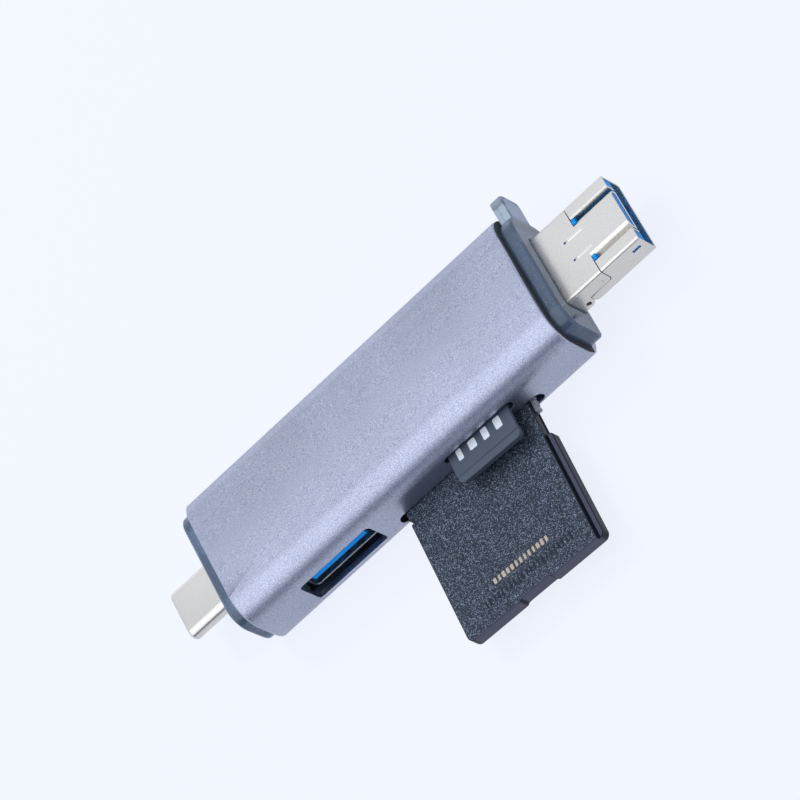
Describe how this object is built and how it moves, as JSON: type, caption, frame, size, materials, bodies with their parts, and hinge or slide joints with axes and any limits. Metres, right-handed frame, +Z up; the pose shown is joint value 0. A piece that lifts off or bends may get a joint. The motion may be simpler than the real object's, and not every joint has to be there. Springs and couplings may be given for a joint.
{
  "type": "usb memory card reader",
  "caption": "Pocket card reader: rounded aluminium tube with a USB-C plug, a flip-open USB-A and micro-USB plug, a USB-A port, and slots that hold a memory card and a micro card.",
  "frame": {"origin": "centre of the aluminium tube's bottom face", "axes": "+X along the tube to the flip-open plug, +Z up, -Y out of the side with the port and the cards"},
  "size_m": [0.0849, 0.0494, 0.012],
  "materials": {
    "aluminium_body": "bead-blasted, anodised grey",
    "smoky_plastic": "smoky, translucent",
    "dark_rubber": "matt",
    "plated_steel": "satin nickel plate",
    "blue_plastic": "satin",
    "dark_plastic": "satin",
    "gold_contacts": "gold plate",
    "card_plastic": "fine grain",
    "tab_plastic": "satin",
    "board_green": "satin lacquer",
    "chip_black": "matt",
    "capacitor_tan": "matt ceramic"
  },
  "bodies": {
    "reader": {"body_shell": "aluminium_body", "plug_end_cap": "smoky_plastic", "cap_gasket": "dark_rubber", "c_end_cap": "smoky_plastic", "plug_cover": "plated_steel", "pivot_pins": "plated_steel", "plug_support": "blue_plastic", "nose_insulator": "blue_plastic", "nose_contacts": "gold_contacts", "usb_c_shell": "plated_steel", "usb_c_insulator": "dark_plastic", "usb_c_contacts": "gold_contacts", "port_shell": "plated_steel", "port_tongue": "blue_plastic", "port_contacts": "gold_contacts", "memory_card": "card_plastic", "memory_card_contacts": "gold_contacts", "card_socket_frame": "dark_plastic", "card_socket_cover": "plated_steel", "card_socket_springs": "gold_contacts", "micro_card": "card_plastic", "micro_card_contacts": "gold_contacts", "micro_socket_base": "dark_plastic", "micro_socket_cover": "plated_steel", "micro_socket_springs": "gold_contacts", "main_board": "board_green", "card_controller": "chip_black", "hub_chip": "chip_black", "crystal": "plated_steel", "capacitors": "capacitor_tan"},
    "flip_plug": {"flip_mouth": "plated_steel", "flip_insulator": "blue_plastic", "flip_contacts": "gold_contacts"},
    "lock_slider": {"lock_tab": "tab_plastic"}
  },
  "joints": [
    {"name": "plug_flip", "type": "hinge", "parent": "reader", "child": "flip_plug", "pos_m": [0.03333, 0, 0.00468], "axis": [0, 1, 0], "range_deg": [0, 90]},
    {"name": "lock_slide", "type": "slide", "parent": "reader", "child": "lock_slider", "axis": [-0.0401, -0.9992, 0], "range_m": [0, 0.0041]}
  ]
}
